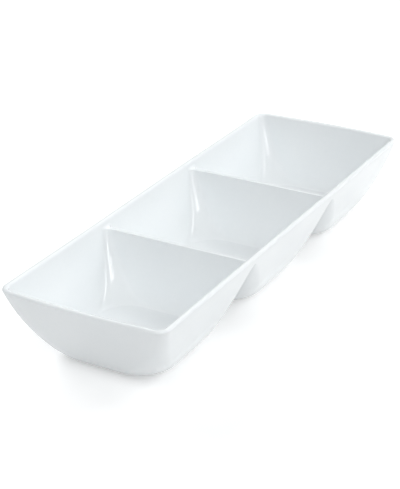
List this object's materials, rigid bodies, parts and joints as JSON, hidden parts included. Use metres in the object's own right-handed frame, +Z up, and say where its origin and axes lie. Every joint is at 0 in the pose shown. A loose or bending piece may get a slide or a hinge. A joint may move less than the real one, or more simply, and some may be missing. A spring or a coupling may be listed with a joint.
{
  "type": "divided serving bowl",
  "caption": "Long glazed serving bowl with square bowls side by side under one shared rim, for serving dips, nuts or sides.",
  "frame": {"origin": "on the table, under the centre of the tray", "axes": "+X along the row, from the front bowl to the rear bowl; +Y across the tray; +Z up"},
  "size_m": [0.3646, 0.125, 0.0545],
  "materials": {
    "glaze": "gloss",
    "bare_foot": "matte"
  },
  "bodies": {
    "root": {"front_bowl": "glaze", "middle_bowl": "glaze", "rear_bowl": "glaze", "front_crest": "glaze", "rear_crest": "glaze", "rim": "glaze", "front_foot": "bare_foot", "middle_foot": "bare_foot", "rear_foot": "bare_foot"}
  },
  "joints": []
}
